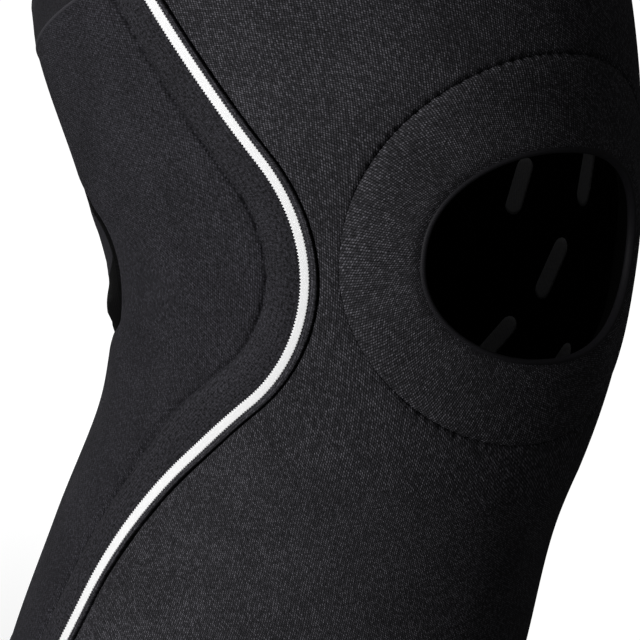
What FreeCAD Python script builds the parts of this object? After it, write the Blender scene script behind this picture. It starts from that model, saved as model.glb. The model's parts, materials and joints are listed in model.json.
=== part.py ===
import FreeCAD, Part
import math
import os

# Open-kneecap knee support sleeve, relaxed and pre-bent. Millimetres.
# The calf end stands upright on z = 0 about the Z axis and the thigh end leans back to -X.
# The kneecap looks to +X, and the left and right sides (+Y and -Y) mirror each other.

V = FreeCAD.Vector

# Lengths and bend of the middle line
CALF_LENGTH = 125.0         # knee centre down to the calf rim
THIGH_LENGTH = 84.0         # knee centre up to the thigh rim
REST_BEND = 38.0            # degrees between calf and thigh when relaxed
BEND_RADIUS = 75.0          # of the middle line at the knee
RIM_LEAN = 7.0              # further degrees at the thigh, so that its rim rises to the front

# Girth, as the outer radii of the foam wall
CALF_RIM_RADIUS = 57.5
KNEE_RADIUS = 59.5
KNEE_SHIFT = 2.5            # wall forward of the middle line round the whole bend
THIGH_RIM_RADIUS = 70.0
CALF_SECTIONS = [(78.0, 57.5, 3.0), (46.0, 56.0, 2.5)]      # below the knee centre: radius, forward shift
THIGH_SECTIONS = [(46.0, 65.5, 2.5)]                        # above the knee centre: radius, forward shift
WALL = 4.5                  # outer knit, foam and lining together
SIDES = 36                  # flat facets round a section of the sleeve and round an oval
BEND_STEPS = 5              # facets along the bend

# Rolled rim bindings
HEM_WIDTH = 12.0
HEM_SKIN = 0.8              # binding cloth over the wall, inside, outside and at the end

# Kneecap ring, opening and edging, about an axis that halves the bend
RING_HEIGHT = 14.5          # ring centre above the knee centre
RING_HALF_WIDTH = 48.0
RING_HALF_HEIGHT = 44.5
RING_PROUD = 0.9            # ring face above the front panel
OPENING_HALF_WIDTH = 34.0
OPENING_HALF_HEIGHT = 24.5
EDGING_SKIN = 0.7           # thickness of the turned edging in the opening
EDGING_LIP = 2.2            # its width on the ring face
PAD_INSET = 4.0             # opening edge to the gel pad
PAD_WIDTH = 9.0
PAD_COVER = 2.0             # ring wall left in front of the pad
PAD_PROUD = 0.6             # pad above the lining, towards the knee

# Side seam, as a path in the side view: corners (forward of the calf axis, above the knee centre)
SEAM_CORNERS = [(-110.0, 103.0), (43.0, 18.2), (-2.0, -58.0), (-24.5, -189.0)]
SEAM_ROUNDS = [39.0, 134.0]
SEAM_STEPS = 8              # straight stitches of the path round each corner
TAPE_WIDTH = 2.6
TAPE_THICK = 0.7
PIPING_WIDTH = 1.2
PIPING_THICK = 1.0
CHANNEL_WIDTH = 7.6         # raised strip behind the tape that holds the stay
CHANNEL_THICK = 0.8
STAY_WIDTH = 4.8
STAY_THICK = 1.2
STAY_CLEARANCE = 0.2        # all round the stay in its pocket
STAY_END_GAP = 6.0          # stay tip to the rim binding
TIP_LENGTH = 8.0
TIP_SKIN = 0.3

# Window behind the knee, as an ellipse in the side view centred in the back wall
WINDOW_HALF_HEIGHT = 26.0
WINDOW_REACH = 33.0         # forward of its centre
WINDOW_INSET = 2.5          # its centre behind the back wall
INSERT_THICK = 1.8
INSERT_RECESS = 1.5

# Where the calf, knee and thigh zones part, as degrees about the knee centre from the ring axis
THIGH_FRONT, THIGH_BACK = 65.0, 148.0
CALF_FRONT, CALF_BACK = -58.0, -140.0
HUB_RADIUS = 12.0           # knee zone round the knee centre
FAR = 300.0                 # beyond every part of the sleeve

BEND = math.radians(REST_BEND)
TANGENT = BEND_RADIUS * math.tan(BEND / 2)
ARC_LENGTH = BEND_RADIUS * BEND
KNEE_RUN = CALF_LENGTH - TANGENT + ARC_LENGTH / 2
LENGTH = CALF_LENGTH + THIGH_LENGTH - 2 * TANGENT + ARC_LENGTH
MIDDLE_LINE = [             # length and turn of each stretch, from the calf rim up
    (CALF_LENGTH - TANGENT, 0.0),
    (ARC_LENGTH, BEND),
    (THIGH_LENGTH - TANGENT - HEM_WIDTH, math.radians(RIM_LEAN)),
    (HEM_WIDTH, 0.0),
]

STAY_START = TAPE_WIDTH + (CHANNEL_WIDTH - STAY_WIDTH) / 2

KNEE = V(0, 0, CALF_LENGTH)
KNEE_MIDDLE = V(-BEND_RADIUS * (1 - math.cos(BEND / 2)), 0, CALF_LENGTH - TANGENT + BEND_RADIUS * math.sin(BEND / 2))
RING_AXIS = V(math.cos(BEND / 2), 0, math.sin(BEND / 2))
RING_UP = V(-math.sin(BEND / 2), 0, math.cos(BEND / 2))
SIDE = V(0, 1, 0)


def middle_line(run):
    """Point on the middle line and its lean, at a distance from the calf rim."""
    point, lean = V(0, 0, 0), 0.0
    for length, turn in MIDDLE_LINE:
        part = min(max(run, 0.0), length)
        swing = turn * part / length
        chord = part if abs(swing) < 1e-9 else part * math.sin(swing / 2) / (swing / 2)
        heading = lean + swing / 2
        point = point + V(-math.sin(heading), 0, math.cos(heading)) * chord
        lean += swing
        run -= part
    return point, lean


def forward(lean):
    return V(math.cos(lean), 0, math.sin(lean))


def along(lean):
    return V(-math.sin(lean), 0, math.cos(lean))


def sections():
    """Distance from the calf rim, radius and forward shift of each section, rim to rim inside the bindings."""
    rows = [(HEM_SKIN, CALF_RIM_RADIUS, 0.0), (HEM_WIDTH, CALF_RIM_RADIUS, 0.0)]
    rows += [(KNEE_RUN - below, radius, shift) for below, radius, shift in CALF_SECTIONS]
    for step in range(BEND_STEPS + 1):
        rows.append((KNEE_RUN + ARC_LENGTH * (step / BEND_STEPS - 0.5), KNEE_RADIUS, KNEE_SHIFT))
    rows += [(KNEE_RUN + above, radius, shift) for above, radius, shift in THIGH_SECTIONS]
    return rows + [(LENGTH - HEM_WIDTH, THIGH_RIM_RADIUS, 0.0), (LENGTH - HEM_SKIN, THIGH_RIM_RADIUS, 0.0)]


def section(run, radius, shift):
    """Corners of a many-sided cross-section."""
    centre, lean = middle_line(run)
    centre = centre + forward(lean) * shift
    turns = [2 * math.pi * k / SIDES for k in range(SIDES)]
    return [centre + (forward(lean) * math.cos(turn) + SIDE * math.sin(turn)) * radius for turn in turns]


def flat_faces(corners):
    """One flat face through four corners, or two where they don't lie in a plane."""
    a, b, c, d = corners
    lift = abs((b - a).cross(c - a).normalize().dot(d - a))
    groups = [corners] if lift < 1e-7 else [[a, b, c], [a, c, d]]
    return [Part.Face(Part.makePolygon(group + group[:1])) for group in groups]


def faceted(rings):
    """Solid with flat facets between rings of corners, closed at both ends."""
    faces = [Part.Face(Part.makePolygon(ring + ring[:1])) for ring in (rings[0], rings[-1])]
    for low, high in zip(rings, rings[1:]):
        for k in range(SIDES):
            after = (k + 1) % SIDES
            faces += flat_faces([low[k], low[after], high[after], high[k]])
    shell = Part.makeShell(faces)
    shell.sewShape()
    solid = Part.makeSolid(shell)
    return solid if solid.Volume > 0 else solid.reversed()


def oval(centre, across, up):
    """Many-sided ellipse as a face, from its centre and two half axes."""
    turns = [2 * math.pi * (k + 0.5) / SIDES for k in range(SIDES)]
    corners = [centre + across * math.cos(turn) + up * math.sin(turn) for turn in turns]
    return Part.Face(Part.makePolygon(corners + corners[:1]))


LOFTS = {}


def filled(offset):
    """Solid inside the sleeve's outer surface, moved out by an offset."""
    if offset not in LOFTS:
        LOFTS[offset] = faceted([section(run, radius + offset, shift) for run, radius, shift in sections()])
    return LOFTS[offset]


def layer(inner, outer, region):
    """The part of a region that lies between two offsets from the sleeve's outer surface."""
    return region.common(filled(outer)).cut(filled(inner))


def prism(corners, low=-FAR, high=FAR):
    """Side-view outline, drawn in the plane y = 0, as a solid from y = low to y = high."""
    solid = Part.Face(Part.makePolygon(corners + corners[:1])).extrude(V(0, high - low, 0))
    solid.translate(V(0, low, 0))
    return solid


def slab(start, end):
    """Everything between two cross-sections of the sleeve."""
    low, lean_low = middle_line(start)
    high, lean_high = middle_line(end)
    back = THIGH_RIM_RADIUS * 1.5
    return prism([
        low - forward(lean_low) * back,
        low + forward(lean_low) * FAR,
        high + forward(lean_high) * FAR,
        high - forward(lean_high) * back,
    ])


def sector(first, last):
    """Wedge about the knee centre between two angles from the ring axis, without the hub."""
    steps = [first + (last - first) * k / 3 for k in range(4)]
    rays = [RING_AXIS * math.cos(math.radians(a)) + RING_UP * math.sin(math.radians(a)) for a in steps]
    hub = Part.makeCylinder(HUB_RADIUS, 2 * FAR, KNEE - SIDE * FAR, SIDE)
    return prism([KNEE] + [KNEE + ray * FAR for ray in rays]).cut(hub)


def kneecap_column(half_width, half_height):
    """Oval column from the knee forward, about the ring's own centre."""
    return oval(KNEE + RING_UP * RING_HEIGHT, SIDE * half_width, RING_UP * half_height).extrude(RING_AXIS * FAR)


def opening_column(grow):
    return kneecap_column(OPENING_HALF_WIDTH + grow, OPENING_HALF_HEIGHT + grow)


def seam_path(shift):
    """Points along the side seam, thigh end first, moved back by a distance."""
    corners = [V(x, 0, CALF_LENGTH + z) for x, z in SEAM_CORNERS]
    runs = [(b - a).normalize() for a, b in zip(corners, corners[1:])]
    backs = [V(run.z, 0, -run.x) for run in runs]
    points = [corners[0] + backs[0] * shift]
    for k, radius in enumerate(SEAM_ROUNDS):
        before, after = runs[k], runs[k + 1]
        corner = corners[k + 1] + (backs[k] + backs[k + 1]) * (shift / (1 + backs[k].dot(backs[k + 1])))
        way = 1 if backs[k].dot(after) > 0 else -1
        turn = math.acos(before.dot(after))
        size = radius - way * shift
        start = corner - before * (size * math.tan(turn / 2))
        for step in range(SEAM_STEPS + 1):
            swing = turn * step / SEAM_STEPS
            points.append(start + before * (size * math.sin(swing)) + backs[k] * (way * size * (1 - math.cos(swing))))
    return points + [corners[-1] + backs[-1] * shift]


def seam_band(first, second, low, high):
    """Strip beside the seam between two distances behind it."""
    return prism(seam_path(first) + seam_path(second)[::-1], low, high)


def ahead_of_seam():
    """Everything on the kneecap side of the seam."""
    path = seam_path(0.0)
    above = path[0] + V(0, 0, FAR)
    return prism(path + [V(above.x + 2 * FAR, 0, path[-1].z), above + V(2 * FAR, 0, 0), above])


def on_side(sign):
    return (0.0, FAR) if sign > 0 else (-FAR, 0.0)


def hem(rim_run, radius):
    """Binding folded round the rim at a distance along the middle line, with the wall's end inside it."""
    rim, lean = middle_line(rim_run)
    inward = along(lean) * (1 if rim_run < KNEE_RUN else -1)
    folded = Part.makeCylinder(radius + HEM_SKIN, HEM_WIDTH, rim, inward)
    folded = folded.cut(Part.makeCylinder(radius - WALL - HEM_SKIN, HEM_WIDTH, rim, inward))
    return folded.cut(filled(0.0).cut(filled(-WALL)))


def build_shell():
    """Foam panels, cut into their zones, and the pieces let into them."""
    wall = filled(0.0).cut(filled(-WALL))
    front = ahead_of_seam()
    thigh_zone = sector(THIGH_FRONT, THIGH_BACK).fuse(slab(LENGTH - HEM_WIDTH, LENGTH))
    calf_zone = sector(CALF_BACK, CALF_FRONT).fuse(slab(0.0, HEM_WIDTH))
    ring_column = kneecap_column(RING_HALF_WIDTH, RING_HALF_HEIGHT)

    window_centre = KNEE_MIDDLE - RING_AXIS * (KNEE_RADIUS - KNEE_SHIFT + WINDOW_INSET)
    window = oval(window_centre - SIDE * FAR, RING_AXIS * WINDOW_REACH, RING_UP * WINDOW_HALF_HEIGHT)
    window = window.extrude(SIDE * 2 * FAR)

    room = STAY_CLEARANCE + TIP_SKIN
    pocket_end = HEM_WIDTH + STAY_END_GAP - STAY_CLEARANCE
    pockets = seam_band(STAY_START - room, STAY_START + STAY_WIDTH + room, -FAR, FAR)
    pockets = layer(-STAY_THICK - 2 * room, 0.0, pockets.common(slab(pocket_end, LENGTH - pocket_end)))

    front_wall = wall.common(front).cut(ring_column)
    back_wall = wall.cut(front).cut(ring_column).cut(window).cut(pockets)
    parts = {}
    for name, panel in (("front_panel", front_wall), ("back_panel", back_wall)):
        parts[name + "_thigh"] = panel.common(thigh_zone)
        parts[name + "_calf"] = panel.common(calf_zone)
        parts[name + "_knee"] = panel.cut(thigh_zone).cut(calf_zone)
    parts["popliteal_insert"] = layer(-INSERT_RECESS - INSERT_THICK, -INSERT_RECESS, window)
    return parts


def build_hems():
    return {"calf_hem": hem(0.0, CALF_RIM_RADIUS), "thigh_hem": hem(LENGTH, THIGH_RIM_RADIUS)}


def build_ring():
    """Kneecap ring with its inner pad and the turned edging of the opening."""
    column = kneecap_column(RING_HALF_WIDTH, RING_HALF_HEIGHT)
    pad_zone = opening_column(PAD_INSET + PAD_WIDTH).cut(opening_column(PAD_INSET))
    pad = layer(-WALL - PAD_PROUD, RING_PROUD - PAD_COVER, pad_zone)
    ring = layer(-WALL, RING_PROUD, column.cut(opening_column(EDGING_SKIN))).cut(pad)

    turned = opening_column(EDGING_SKIN).cut(opening_column(0.0))
    lip = opening_column(EDGING_LIP).cut(opening_column(0.0))
    edging = layer(-WALL, RING_PROUD, turned).fuse(layer(RING_PROUD, RING_PROUD + EDGING_SKIN, lip))
    return {"patella_ring": ring, "patella_pad": pad, "opening_edging": edging}


def build_side(name, sign):
    """Tape, piping, stay channel and stay of one side."""
    low, high = on_side(sign)
    face = -STAY_CLEARANCE - TIP_SKIN
    end = HEM_WIDTH + STAY_END_GAP

    def strip(inner, outer, first, last, margin):
        band = seam_band(first, last, low, high)
        return layer(inner, outer, band.common(slab(HEM_WIDTH + margin, LENGTH - HEM_WIDTH - margin)))

    blade_edges = (STAY_START, STAY_START + STAY_WIDTH)
    stay = strip(face - STAY_THICK, face, *blade_edges, STAY_END_GAP + TIP_SKIN)
    sheath = seam_band(blade_edges[0] - TIP_SKIN, blade_edges[1] + TIP_SKIN, low, high)
    tips = []
    for first in (end, LENGTH - end - TIP_LENGTH):
        stretch = sheath.common(slab(first, first + TIP_LENGTH))
        tips.append(layer(face - STAY_THICK - TIP_SKIN, face + TIP_SKIN, stretch).cut(stay))
    return {
        "seam_tape_" + name: strip(0.0, TAPE_THICK, 0.0, TAPE_WIDTH, 0.0),
        "piping_" + name: strip(0.0, PIPING_THICK, -PIPING_WIDTH, 0.0, 0.0),
        "stay_channel_" + name: strip(0.0, CHANNEL_THICK, TAPE_WIDTH, TAPE_WIDTH + CHANNEL_WIDTH, 0.0),
        "stay_" + name: stay,
        "stay_tips_" + name: Part.makeCompound(tips),
    }


def export(parts):
    os.makedirs("parts", exist_ok=True)
    for name, shape in parts.items():
        solids = shape.Solids
        solid = solids[0] if len(solids) == 1 else Part.makeCompound(solids)
        print(f"{name}: {len(solids)} solid, {solid.Volume:.0f} mm3, valid {solid.isValid()}")
        solid.exportStep(f"parts/{name}.step")


parts = build_shell()
parts.update(build_hems())
parts.update(build_ring())
parts.update(build_side("left", 1))
parts.update(build_side("right", -1))
export(parts)
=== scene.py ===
import json
import math

import bmesh
import bpy
import numpy as np
from mathutils import Matrix, Vector


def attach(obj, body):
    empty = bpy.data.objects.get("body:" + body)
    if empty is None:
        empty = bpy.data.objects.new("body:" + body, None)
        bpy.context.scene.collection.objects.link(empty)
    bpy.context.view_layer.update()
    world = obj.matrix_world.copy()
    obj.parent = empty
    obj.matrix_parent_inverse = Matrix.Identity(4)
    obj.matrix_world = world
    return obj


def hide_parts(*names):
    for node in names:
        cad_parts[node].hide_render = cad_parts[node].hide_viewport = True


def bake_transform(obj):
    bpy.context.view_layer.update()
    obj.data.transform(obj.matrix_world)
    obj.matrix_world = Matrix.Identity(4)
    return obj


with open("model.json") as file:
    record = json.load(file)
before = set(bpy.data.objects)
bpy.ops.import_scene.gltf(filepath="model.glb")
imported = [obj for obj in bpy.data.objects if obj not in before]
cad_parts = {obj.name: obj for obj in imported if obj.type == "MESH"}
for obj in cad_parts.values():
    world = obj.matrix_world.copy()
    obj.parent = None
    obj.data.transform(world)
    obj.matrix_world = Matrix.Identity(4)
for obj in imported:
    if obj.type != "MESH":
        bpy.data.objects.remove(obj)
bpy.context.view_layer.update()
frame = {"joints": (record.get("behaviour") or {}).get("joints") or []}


# ---- Front panel ----
# One sheet of knit-faced neoprene foam round the front of the leg, from the calf rim to the thigh
# rim. It is cut out for the kneecap ring and its edges are turned down into the two side seams.
# The shape of the whole sleeve is worked out here. Sizes are in millimetres.

KNEE = Vector(frame["joints"][0]["pos_m"]) * 1000
CALF_LENGTH = KNEE.z
THIGH_LENGTH = 84.0
BEND_RADIUS = 75.0
REST_BEND = math.radians(38.0)
RIM_LEAN = math.radians(7.0)
HEM_WIDTH = 12.0
FOAM = 4.5                  # outer knit, foam and lining together
REACH = 60.0                # mean reach of the outer face, by which angles become lengths
LINING_REACH = 56.0         # and of the lining

TANGENT = BEND_RADIUS * math.tan(REST_BEND / 2)
ARC = BEND_RADIUS * REST_BEND
KNEE_RUN = CALF_LENGTH - TANGENT + ARC / 2
LENGTH = CALF_LENGTH + THIGH_LENGTH - 2 * TANGENT + ARC
MIDDLE_LINE = [             # length and turn of each stretch of the middle line, from the calf rim
    (CALF_LENGTH - TANGENT, 0.0),
    (ARC, REST_BEND),
    (THIGH_LENGTH - TANGENT - HEM_WIDTH, RIM_LEAN),
    (HEM_WIDTH, 0.0),
]
GIRTH = np.array([          # distance from the calf rim; reach to the front, back and side
    (0.0, 57.5, 57.5, 57.5),
    (HEM_WIDTH, 57.5, 57.5, 57.0),
    (KNEE_RUN - 78, 61.0, 56.0, 55.5),
    (KNEE_RUN - 36, 57.0, 52.5, 55.0),
    (KNEE_RUN, 60.5, 58.5, 61.0),
    (KNEE_RUN + 36, 69.5, 62.2, 65.3),
    (LENGTH - HEM_WIDTH, 72.5, 66.2, 67.8),
    (LENGTH, 72.5, 64.6, 66.8),
])

RING_HEIGHT = 14.8          # kneecap ring: its centre above the knee centre
RING_HALF_WIDTH = 48.0
RING_HALF_HEIGHT = 44.5
RING_FULLNESS = 2.12        # 2 is an ellipse; more is squarer
RING_AXIS = np.array([math.cos(REST_BEND / 2), math.sin(REST_BEND / 2)])
RING_UP = np.array([-math.sin(REST_BEND / 2), math.cos(REST_BEND / 2)])
SEAM_ROWS = [0, 0.3, 0.6, 0.9, 1.3, 1.8, 2.6, 3.8]     # rows of the mesh beside the ring's seam

SEAM_CORNERS = np.array([(-110.0, 103.0), (43.0, 18.2), (-2.0, -58.0), (-24.5, -189.0)])
SEAM_ROUNDS = [39.0, 134.0]
PIPING_WIDTH = 0.95
TAPE_WIDTH = 2.6
CHANNEL_WIDTH = 7.6


def middle_line(run):
    """Place on the middle line in the side view, and its lean, at a distance from the calf rim."""
    run = np.array(run, float)
    x, z, lean = np.zeros_like(run), np.zeros_like(run), np.zeros_like(run)
    for length, turn in MIDDLE_LINE:
        part = np.clip(run, 0, length)
        swing = turn * part / length
        chord = part * np.sinc(swing / (2 * np.pi))
        x -= chord * np.sin(lean + swing / 2)
        z += chord * np.cos(lean + swing / 2)
        lean += swing
        run = run - part
    return x, z, lean


def girth(run):
    """Reach of the sleeve to the front, back and side, as smooth curves through GIRTH."""
    at = GIRTH[:, 0]
    k = np.clip(np.searchsorted(at, run, side="right") - 1, 0, len(at) - 2)
    span = at[k + 1] - at[k]
    t = np.clip((run - at[k]) / span, 0, 1)
    found = []
    for reach in GIRTH[:, 1:].T:
        slope = np.gradient(reach, at)
        slope[[0, 1, -2, -1]] = 0
        start, end = reach[k], reach[k + 1]
        rise = end - start
        bow = (slope[k] * span - rise) * (1 - t) + (rise - slope[k + 1] * span) * t
        found.append(start + rise * t + t * (1 - t) * bow)
    return found


def skin(run, turn, lift=0.0):
    """Points on the sleeve: distance from the calf rim, angle from the front, height off its face."""
    x, z, lean = middle_line(run)
    front, back, side = girth(run)
    reach = np.where(np.cos(turn) > 0, front, back) + lift
    n = reach * np.cos(turn)
    y = (side + lift) * np.sin(turn)
    return np.stack(np.broadcast_arrays(x + n * np.cos(lean), y, z + n * np.sin(lean)), -1)


def under_hem(run):
    """Drop of the sheets' faces where the rim bindings are folded over them."""
    return -0.6 * (ease((run - LENGTH + HEM_WIDTH - 0.7) / 1.6) + ease((HEM_WIDTH - 0.7 - run) / 1.6))


def curvature(run):
    """Turn of the middle line for each millimetre along it."""
    start, found = 0.0, np.zeros_like(run)
    for length, turn in MIDDLE_LINE:
        found = np.where((run >= start) & (run < start + length), turn / length, found)
        start += length
    return found


def across_section(x, z):
    """The cross-section through a place in the side view: its distance from the calf rim, and how far
    forward in it the place lies.
    """
    run = np.clip(KNEE_RUN + (x - KNEE.x) * RING_UP[0] + (z - KNEE.z) * RING_UP[1], 1, LENGTH - 1)
    for _ in range(25):             # steps a little short of the place, so that they settle
        cx, cz, lean = middle_line(run)
        ahead = (x - cx) * np.cos(lean) + (z - cz) * np.sin(lean)
        over = -(x - cx) * np.sin(lean) + (z - cz) * np.cos(lean)
        run = np.clip(run + 0.8 * over / np.maximum(1 + curvature(run) * ahead, 0.25), 0, LENGTH)
    return run, ahead


def side_spot(x, z):
    """Distance from the calf rim and angle of the place on the sleeve's side seen at (x, z) from the side."""
    run, ahead = across_section(x, z)
    front, back, _ = girth(run)
    return run, np.arccos(np.clip(ahead / np.where(ahead > 0, front, back), -1, 1))


def ring_spot(across, up):
    """The same for the place in front of the knee seen at (across, up) along the kneecap ring's axis."""
    across, up = np.broadcast_arrays(np.asarray(across, float), np.asarray(up, float))
    near, far = np.full(across.shape, 15.0), np.full(across.shape, 120.0)
    for _ in range(34):             # halves the stretch in which the sleeve's face lies
        t = (near + far) / 2
        x = KNEE.x + RING_UP[0] * up + RING_AXIS[0] * t
        z = KNEE.z + RING_UP[1] * up + RING_AXIS[1] * t
        run, ahead = across_section(x, z)
        front, back, side = girth(run)
        reach = np.where(ahead > 0, front, back)
        outside = (ahead / reach) ** 2 + (across / side) ** 2 > 1
        near, far = np.where(outside, near, t), np.where(outside, t, far)
    return run, np.arctan2(across / side, ahead / reach)


def straight(start, end, step):
    """Places from one point to just before another, about a step apart."""
    count = max(2, round(np.linalg.norm(end - start) / step))
    return [start + (end - start) * t for t in np.arange(count) / count]


def seam_line(step):
    """Places along the side seam in the side view, thigh end first, and the way to the back at each."""
    runs = np.diff(SEAM_CORNERS, axis=0)
    runs /= np.linalg.norm(runs, axis=1)[:, None]
    places, ways = [], []
    at = SEAM_CORNERS[0]
    for k, radius in enumerate(SEAM_ROUNDS):
        before, after = runs[k], runs[k + 1]
        turn = math.atan2(before[0] * after[1] - before[1] * after[0], before @ after)
        start = SEAM_CORNERS[k + 1] - before * radius * math.tan(abs(turn) / 2)
        places += straight(at, start, step)
        ways += [before] * (len(places) - len(ways))
        count = max(2, round(abs(turn) * radius / step))
        side = np.array([before[1], -before[0]]) * -np.sign(turn)
        for t in np.arange(count) / count:
            swing = abs(turn) * t
            places.append(start + before * radius * math.sin(swing) + side * radius * (1 - math.cos(swing)))
            ways.append(before * math.cos(swing) + side * math.sin(swing))
        at = places[-1] + ways[-1] * step
    places += straight(at, SEAM_CORNERS[-1], step)
    ways += [runs[-1]] * (len(places) - len(ways))
    ways = np.array(ways)
    return np.array(places) + [KNEE.x, KNEE.z], np.stack([ways[:, 1], -ways[:, 0]], 1)


SEAM, SEAM_BACK = seam_line(0.5)
SEAM_RUN, SEAM_TURN = side_spot(*SEAM.T)
on_sleeve = (SEAM_RUN > 0.5) & (SEAM_RUN < LENGTH - 0.5)
SEAM_RUN, SEAM_TURN = SEAM_RUN[on_sleeve][::-1], SEAM_TURN[on_sleeve][::-1]


def seam_angle(run):
    """Angle from the front at which the side seam lies."""
    return np.interp(run, SEAM_RUN, SEAM_TURN)


def behind_seam(points):
    """How far points lie behind the side seam in the side view; ahead of it the distance is negative."""
    found = np.empty(len(points))
    for k in range(0, len(points), 4000):
        gap = points[k:k + 4000, None, [0, 2]] - SEAM[None]
        nearest = (gap ** 2).sum(-1).argmin(1)
        found[k:k + 4000] = (gap[np.arange(len(nearest)), nearest] * SEAM_BACK[nearest]).sum(-1)
    return found


def ease(t):
    """Smooth step from 0 to 1."""
    t = np.clip(t, 0, 1)
    return t * t * (3 - 2 * t)


def bell(distance, width):
    """1 at no distance, fading to 0 within about two widths."""
    return np.exp(-(distance / width) ** 2)


def full_turn(count):
    """Even angles round a full turn."""
    return np.arange(count) / count * 2 * math.pi


def rows_between(near, far, first, last, middle):
    """Places from one line to another: close rows at set distances from both, and even rows between.

    Where the lines run too close for the set distances, these shrink so that no row crosses another.
    """
    length = np.linalg.norm(far - near, axis=-1, keepdims=True)
    shrink = np.minimum(1, 0.85 * length / (first[-1] + last[-1]))
    head = shrink * np.array(first) / length
    tail = 1 - shrink * np.array(last)[::-1] / length
    even = head[:, -1:] + (tail[:, :1] - head[:, -1:]) * np.arange(1, middle) / middle
    t = np.concatenate([head, even, tail], 1)[..., None]
    return near[:, None] * (1 - t) + far[:, None] * t


def face_outwards(mesh):
    """Turn a closed skin round if its faces look into the material."""
    shape = bmesh.new()
    shape.from_mesh(mesh)
    if all(edge.is_manifold for edge in shape.edges) and shape.calc_volume(signed=True) < 0:
        bmesh.ops.reverse_faces(shape, faces=shape.faces)
        shape.to_mesh(mesh)
    shape.free()


def make_object(name, data):
    made = bpy.data.objects.new(name, data)
    bpy.context.scene.collection.objects.link(made)
    return made


def make_mesh(name, points, faces, uv, finishes, which=None):
    """Smooth-shaded object from points in millimetres. uv is the flat place of each point, and which says
    the finish of each face.
    """
    mesh = bpy.data.meshes.new(name)
    mesh.from_pydata((np.asarray(points) * 0.001).tolist(), [], faces)
    layer = mesh.uv_layers.new(name="UVMap")
    corner = np.empty(len(mesh.loops), int)
    mesh.loops.foreach_get("vertex_index", corner)
    layer.data.foreach_set("uv", np.asarray(uv, np.float32)[corner].ravel())
    for finish in finishes:
        mesh.materials.append(finish)
    if which is not None:
        mesh.polygons.foreach_set("material_index", which)
    mesh.polygons.foreach_set("use_smooth", [True] * len(mesh.polygons))
    mesh.update()
    face_outwards(mesh)
    return make_object(name, mesh)


def grid_faces(rows, columns, start, wrap_rows=False, wrap_columns=False, flip=False):
    """Quads of a grid whose points are numbered row by row from start."""
    faces = []
    for i in range(rows if wrap_rows else rows - 1):
        for j in range(columns if wrap_columns else columns - 1):
            a, b = start + i * columns + j, start + i * columns + (j + 1) % columns
            c = start + (i + 1) % rows * columns + (j + 1) % columns
            d = start + (i + 1) % rows * columns + j
            faces.append((d, c, b, a) if flip else (a, b, c, d))
    return faces


def sheet_edge(half, end_steps):
    """Distances and angles round a sheet's edge; half is its half angle at a distance from the calf rim."""
    low, high, side_steps = 1.0, LENGTH - 1.0, 230
    up = low + (high - low) * np.arange(side_steps) / side_steps
    down = up[::-1] + (high - low) / side_steps
    ends = np.arange(end_steps) / end_steps * 2 - 1
    run = np.concatenate([up, np.full(end_steps, high), down, np.full(end_steps, low)])
    turn = np.concatenate([half(up), -ends * half(high), -half(down), ends * half(low)])
    return run, turn


def lay_flat(run, turn):
    """Places on the sleeve as lengths: along it, and round it from the front."""
    return np.stack([run, turn * REACH], -1)


def foam_sheet(name, run, turn, outer, inner, uv, knit):
    """Closed foam sheet from a ring-shaped grid: an outer face, an inner face, and walls along both edges."""
    rows, columns = run.shape
    top, bottom = skin(run, turn, outer), skin(run, turn, inner)
    points = np.concatenate([top.reshape(-1, 3), bottom.reshape(-1, 3)])
    half = rows * columns
    faces = grid_faces(rows, columns, 0, wrap_rows=True)
    faces += grid_faces(rows, columns, half, wrap_rows=True, flip=True)
    for i in range(rows):
        a, b = i * columns, (i + 1) % rows * columns
        faces.append((a, b, b + half, a + half))
        a, b = a + columns - 1, b + columns - 1
        faces.append((b, a, a + half, b + half))
    inside = rows * (columns - 1)
    which = [0] * inside + [1] * inside + [0] * (2 * rows)
    flat = uv.reshape(-1, 2)
    return make_mesh(name, points, faces, np.concatenate([flat, flat]), [knit, LINING], which)


def linear(code):
    """Linear colour from an sRGB hex value."""
    parts = [int(code[k:k + 2], 16) / 255 for k in (1, 3, 5)]
    return [c / 12.92 if c < 0.04045 else ((c + 0.055) / 1.055) ** 2.4 for c in parts] + [1.0]


def add(tree, kind, inputs=None, **settings):
    """A node with its settings, and its inputs as values or as links from other nodes' sockets."""
    made = tree.nodes.new(kind)
    for key, value in settings.items():
        setattr(made, key, value)
    for key, value in (inputs or {}).items():
        if isinstance(value, bpy.types.NodeSocket):
            tree.links.new(value, made.inputs[key])
        else:
            made.inputs[key].default_value = value
    return made


def flat_place(tree):
    """The place on the cloth laid flat, in millimetres."""
    return add(tree, "ShaderNodeUVMap", uv_map="UVMap").outputs[0]


def calc(tree, operation, *values):
    """Output of a math node."""
    return add(tree, "ShaderNodeMath", dict(enumerate(values)), operation=operation).outputs[0]


def calc_vector(tree, operation, inputs):
    """Output of a vector math node."""
    return add(tree, "ShaderNodeVectorMath", inputs, operation=operation).outputs[0]


def noise(tree, place, scale, detail, roughness=0.5):
    """A flat noise texture."""
    inputs = {"Vector": place, "Scale": scale, "Detail": detail, "Roughness": roughness}
    return add(tree, "ShaderNodeTexNoise", inputs, noise_dimensions="2D")


def wave(tree, place, scale, distortion, **settings):
    """Output of a wave texture."""
    inputs = {"Vector": place, "Scale": scale, "Distortion": distortion}
    return add(tree, "ShaderNodeTexWave", inputs, **settings).outputs[0]


def spread(tree, value, low, high, start=0.0, end=1.0):
    """A value stretched from one range to another."""
    return add(tree, "ShaderNodeMapRange", {0: value, 1: start, 2: end, 3: low, 4: high}).outputs[0]


def blend_colours(tree, share, dark, light, **settings):
    return add(tree, "ShaderNodeMix", {0: share, 6: linear(dark), 7: linear(light)}, data_type="RGBA",
               **settings).outputs[2]


def new_finish(name):
    finish = bpy.data.materials.new(name)
    finish.use_nodes = True
    tree = finish.node_tree
    return finish, tree, tree.nodes["Principled BSDF"]


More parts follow.
